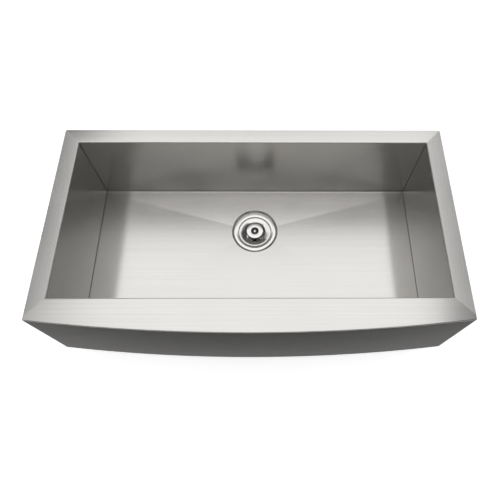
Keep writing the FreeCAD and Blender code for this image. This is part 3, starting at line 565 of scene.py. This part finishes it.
def lathe(name, chain, materials, thread=None, dark=None, crisp=40):
    """A chain of (radius, z), closed and turned round the drain's axis. Its grain runs round the axis. A thread is
    its radius, its lowest and its highest z, and closes the chain: there the radius drops by a sine that climbs one
    pitch in each turn, and fades out over a pitch at both ends. Faces within dark's radius and above its z have the
    THIRD material, which paints shade there."""
    if thread:
        outside, low, high = thread
        climb = np.linspace(low, high, int(8 * (high - low) / PITCH) + 1)
        chain = np.concatenate([chain, np.stack([0 * climb + outside, climb], 1)])
    chain = np.concatenate([chain, chain[:1]])
    angle = np.linspace(0, 2 * np.pi, ROUND + 1)
    radius, z = (np.repeat(chain[:, i:i + 1], len(angle), 1) for i in (0, 1))
    if thread:
        fade = np.clip(np.minimum(z - low, high - z) / PITCH, 0, 1) * (np.abs(radius - outside) < SLACK)
        radius = radius - THREAD * fade * (0.5 + 0.5 * np.sin(2 * np.pi * z / PITCH - angle))
    grid = np.stack([radius * np.cos(angle), DRAIN_Y + radius * np.sin(angle), z], -1)
    grain = np.stack([angle * GRAIN_RADIUS + 0 * z, np.repeat(run_along(chain)[:, None], len(angle), 1)], -1)
    number = FIRST
    if dark:
        lowest, widest = np.minimum(z[1:, 1:], z[:-1, 1:]), np.maximum(radius[1:, 1:], radius[:-1, 1:])
        number = np.where((lowest > dark[1] - SLACK) & (widest < dark[0]), THIRD, FIRST)
    return plate(name, [(grid, grain, number)], materials, crisp=crisp)


polished = brushed("turned_steel", TURNED, 0.13, 0.75, fine=(3, 1500, 1), streak=(0.6, 500, 1),
                   scratch=0.15, clouds=0.05)
# Near-black for the strainer's ledge and the knob's recess: painted shade in the groove and the recess.
recess_shade = grainy("painted_shade_dark", (0.018, 0.018, 0.018), 0.35, 0.001, 0.00002, contrast=0.1)
low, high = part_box("strainer_body")
throat, rim_z, flange = low[2], high[2], high[0]
seat, ledge, under = rim_z - 0.0012, rim_z - 0.0025, rim_z - 0.0015
cup_floor = throat + 0.0072
hole = RECESS_BOTTOM - SHEET
thread_low, thread_high = cup_floor + 0.003, hole - 0.0003
# from the thread up the neck, round the flange's bead, down its dish, which steepens inwards, and down the cup
chain = [(BODY_RADIUS, thread_high), (BODY_RADIUS, hole), (NECK, hole + 0.0015), (NECK, under),
         (flange, under), (flange, seat), (flange - 0.0024, rim_z), (flange - 0.0040, rim_z),
         (0.0500, rim_z - 0.0003), (SEAT_RADIUS, seat), (LEDGE_RADIUS, seat), (LEDGE_RADIUS, ledge),
         (BODY_BORE, ledge), (BODY_BORE, cup_floor + 0.004), (0.0376, cup_floor), (0.0265, cup_floor),
         (0.0200, cup_floor - 0.005), (OUTLET_RADIUS - OUTLET_WALL, throat), (OUTLET_RADIUS, throat),
         (OUTLET_RADIUS, throat + 0.0030), (0.0280, cup_floor - BODY_SHEET), (0.0391, cup_floor - BODY_SHEET),
         (BODY_RADIUS, cup_floor + 0.0025), (BODY_RADIUS, thread_low)]
# The ledge under the basket's lip takes the near-black material: painted shade in the groove.
strainer = lathe("strainer_steel", rounded(chain, 0.0006), [polished, polished, recess_shade],
                 (BODY_RADIUS, thread_low, thread_high), dark=(SEAT_RADIUS + 0.0002, ledge - 0.0001))
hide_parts("strainer_body")
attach(strainer, "sink")

low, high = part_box("strainer_outlet")
pipe_low, pipe_high, pipe, bore = low[2], high[2], high[0], high[0] - OUTLET_WALL
chain = [(pipe, pipe_high), (bore, pipe_high), (bore, pipe_low), (pipe, pipe_low)]
outlet = lathe("outlet_steel", rounded(chain, 0.0003), [polished], (pipe, pipe_low, pipe_high))
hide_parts("strainer_outlet")
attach(outlet, "sink")

satin = grainy("satin_steel", (0.62, 0.62, 0.61), 0.30, 0.003, 0.00001, metallic=1.0, contrast=0.05)
putty = grainy("sealant_putty", (0.50, 0.50, 0.47), 0.6, 0.003, 0.0003, contrast=0.08)
gasket = grainy("gasket_rubber", (0.020, 0.020, 0.021), 0.5, 0.0015, 0.0001, contrast=0.2)
card = grainy("friction_card", (0.42, 0.33, 0.22), 0.85, 0.0012, 0.0001, contrast=0.12)
zinc = grainy("cast_zinc", (0.50, 0.51, 0.53), 0.45, 0.0025, 0.00008, metallic=1.0, contrast=0.12)
finished("strainer_spider", satin, edge=0.0003)
finished("flange_sealant", putty)
finished("drain_gasket", gasket, edge=0.0004)
finished("friction_ring", card)
finished("drain_locknut", zinc, edge=0.0006)

# ------------------------------------------------------------------ the basket
# One stainless pressing: a flat lip, a shallow dish, and a deep well with slots and holes. Its polish runs in rings
# round its axis. A brass bush is clinched in its floor and guides the stopper's post.
PRESSED = (0.72, 0.715, 0.70)
RINGS = 900.0            # rings of tone per metre of radius

pressed, tree, surface = shader("pressed_steel", PRESSED, 1.0, 0.15, Anisotropic=0.7, Anisotropic_Rotation=0.25)
tree.links.new(node(tree, "ShaderNodeTangent", direction_type="RADIAL", axis="Z").outputs[0], surface.inputs["Tangent"])
place = node(tree, "ShaderNodeTexCoord").outputs["Object"]
centred = node(tree, "ShaderNodeVectorMath", {0: place, 1: (0, DRAIN_Y, 0)}, operation="SUBTRACT").outputs[0]
flat = node(tree, "ShaderNodeVectorMath", {0: centred, 1: (1, 1, 0)}, operation="MULTIPLY").outputs[0]
reach = node(tree, "ShaderNodeVectorMath", {0: flat}, operation="LENGTH").outputs["Value"]
rings = node(tree, "ShaderNodeCombineXYZ", {0: math_node(tree, "MULTIPLY", reach, RINGS)}).outputs[0]
tinted(tree, surface, PRESSED, spread_over(tree, noise(tree, rings, 1.0, 3.0), 0.3, 0.7, 0.93, 1.07))
brass = grainy("turned_brass", (0.62, 0.45, 0.20), 0.30, 0.002, 0.00002, metallic=1.0, contrast=0.08)
finished("basket_cup", pressed, edge=0, crisp=24, body="basket")
finished("basket_bush", brass, body="basket")

# ------------------------------------------------------------------ the stopper
# A turned knob with a wide cap, held on the post by a dome nut in the cap's recess. Under the basket the post carries
# a steel washer, the rubber seal, and a brass spring tip that snaps into the outlet's cross.
CAP_SHEET = 0.0014
CAP_SKIRT = 0.0076
RECESS = 0.0094
RECESS_DEPTH = 0.0050
STEM = 0.0062
POST_HOLE = 0.004
NUT_FLANKS = 0.0042      # height of the nut's straight side, under its dome

low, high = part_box("knob_cap")
cap, cap_top, foot = high[0], high[2], low[2]
dip = cap_top - RECESS_DEPTH
skirt = cap_top - CAP_SKIRT
chain = [(POST_HOLE, foot), (STEM, foot), (STEM, dip - CAP_SHEET - 0.0015), (STEM + 0.0015, dip - CAP_SHEET),
         (cap - CAP_SHEET, dip - CAP_SHEET), (cap - CAP_SHEET, skirt), (cap, skirt), (cap, cap_top - 0.0006),
         (cap - 0.0005, cap_top), (RECESS + 0.0008, cap_top), (RECESS, dip), (POST_HOLE, dip)]
# The cap's recess round the nut takes the near-black material: painted shade in the recess.
knob = lathe("knob_steel", rounded(chain, 0.0005), [polished, polished, recess_shade], dark=(RECESS + 0.0006, dip))
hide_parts("knob_cap")
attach(knob, "stopper")

low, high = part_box("knob_nut")
nut_foot, nut_top, nut_radius = low[2], high[2], high[0]
share = np.linspace(1, 0, 12)
dome = np.stack([nut_radius * share, nut_top - (nut_top - nut_foot - NUT_FLANKS) * share ** 2], 1)
nut = lathe("nut_steel", np.concatenate([[(0, nut_foot), (nut_radius, nut_foot)], dome]), [polished])
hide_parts("knob_nut")
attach(nut, "stopper")
finished("stopper_post", satin, edge=0, body="stopper")
finished("seal_retainer", satin, body="stopper")
finished("stopper_seal", gasket, edge=0.0004, body="stopper")
finished("post_clip", brass, edge=0, body="stopper")

# ------------------------------------------------------------------ floor, light and camera
# A plain white floor that can be seen through from below, a dark card that lies on it in front of the apron and only
# the steel reflects, and a world that is a soft box of light above and behind the sink, with grey round it.
FLOOR_GLOW = 0.72
CARD_DARK, CARD_PALE = 0.006, 0.20
BOX_LIGHT = 1.19
LOW_LIGHT = 0.55         # of the surroundings near the horizon, which the photograph's camera doesn't see mirrored


def stage_plane(name, low, high, z, material):
    """A level sheet of the studio between two (x, y) corners. It isn't part of the sink."""
    mesh = bpy.data.meshes.new(name)
    mesh.from_pydata([(*low, z), (high[0], low[1], z), (*high, z), (low[0], high[1], z)], [], [(0, 1, 2, 3)])
    mesh.materials.append(material)
    piece = bpy.data.objects.new(name, mesh)
    bpy.context.scene.collection.objects.link(piece)
    return piece


ground = cad_box[0][2] - 0.0005
white, tree, surface = shader("white_floor", (0.85, 0.85, 0.85), 0.0, 0.9)
rays = node(tree, "ShaderNodeLightPath").outputs
seen = math_node(tree, "ADD", rays["Is Camera Ray"], rays["Is Glossy Ray"])
seen = math_node(tree, "ADD", seen, rays["Is Transmission Ray"])
surface.inputs["Emission Color"].default_value = (1, 1, 1, 1)
tree.links.new(math_node(tree, "MULTIPLY", seen, FLOOR_GLOW), surface.inputs["Emission Strength"])
from_below = node(tree, "ShaderNodeNewGeometry").outputs["Backfacing"]
open_below = node(tree, "ShaderNodeMixShader", {0: from_below, 1: surface.outputs[0],
                                                2: node(tree, "ShaderNodeBsdfTransparent").outputs[0]})
tree.links.new(open_below.outputs[0], tree.nodes["Material Output"].inputs["Surface"])
stage_plane("studio_floor", (-30, -30), (30, 30), ground, white)

dark, tree, surface = shader("dark_card", (0.02, 0.02, 0.02), 0.0, 1.0)
surface.inputs["Emission Color"].default_value = (1, 1, 1, 1)
place = node(tree, "ShaderNodeTexCoord").outputs["Object"]
across_card = node(tree, "ShaderNodeSeparateXYZ", {0: place}).outputs[1]
card_light = spread_over(tree, across_card, -0.62, -0.50, CARD_DARK, CARD_PALE)
tree.links.new(card_light, surface.inputs["Emission Strength"])
front_card = stage_plane("front_card", (-1.4, -2.2), (1.4, -0.44), ground + 0.002, dark)
front_card.visible_camera = False
front_card.visible_diffuse = False
front_card.visible_shadow = False

world = bpy.data.worlds.new("studio_light")
bpy.context.scene.world = world
world.use_nodes = True
tree = world.node_tree
x, y, z = node(tree, "ShaderNodeSeparateXYZ", {0: node(tree, "ShaderNodeTexCoord").outputs["Generated"]}).outputs


def soft_edge(value, start, end, low, high):
    """low up to start, high from end on, with a smooth step between them."""
    return spread_over(tree, value, start, end, low, high, interpolation_type="SMOOTHSTEP")


# The box is the product of its edges over the direction (x, y, z) that is looked in: its front edge is the parabola
# y = 1.4 x^2 + const, its left edge the line x = 0.35 y + const, and its other edges are level or upright.
curve = math_node(tree, "MULTIPLY", math_node(tree, "MULTIPLY", x, x), 1.4)
to_front = math_node(tree, "SUBTRACT", y, curve)
to_left = math_node(tree, "SUBTRACT", math_node(tree, "MULTIPLY", y, 0.35), x)
box = soft_edge(z, 0.0, 0.15, 0, 1)
for edge in (soft_edge(to_front, -0.59, -0.43, 0, 1), soft_edge(y, 0.64, 0.90, 1, 0),
             soft_edge(to_left, 0.49, 0.60, 1, 0), soft_edge(x, 0.325, 0.40, 1, 0.14)):
    box = math_node(tree, "MULTIPLY", box, edge)
level = math_node(tree, "MULTIPLY", box, BOX_LIGHT)
for grey in (soft_edge(y, -0.72, -0.5, 0.012, 0.08), soft_edge(z, 0.28, 0.54, LOW_LIGHT, 0)):
    level = math_node(tree, "ADD", level, grey)
rays = node(tree, "ShaderNodeLightPath").outputs
horizon = math_node(tree, "MULTIPLY", soft_edge(z, 0.06, 0.20, 1, 0), soft_edge(y, -0.4, 0.0, 0, 1))
seen = math_node(tree, "MULTIPLY", rays["Is Glossy Ray"], horizon)
seen = math_node(tree, "ADD", seen, math_node(tree, "ADD", rays["Is Camera Ray"], rays["Is Transmission Ray"]))
strength = node(tree, "ShaderNodeMix", {"Factor": seen, "A": level, "B": 1.0}, data_type="FLOAT").outputs[0]
tree.links.new(strength, tree.nodes["Background"].inputs["Strength"])
tree.nodes["Background"].inputs["Color"].default_value = (1, 1, 1, 1)

camera_data = bpy.data.cameras.new("camera")
camera_data.sensor_width = 36
camera_data.lens = 33.396
camera_data.shift_x = -0.04158
camera_data.shift_y = -0.01065
camera = bpy.data.objects.new("camera", camera_data)
bpy.context.scene.collection.objects.link(camera)
camera.location = (0.03367, -0.72036, 0.90682)
camera.rotation_euler = (radians(25.3666), radians(-0.4029), radians(-0.1961))
bpy.context.scene.camera = camera
bpy.context.scene.view_settings.view_transform = "Standard"
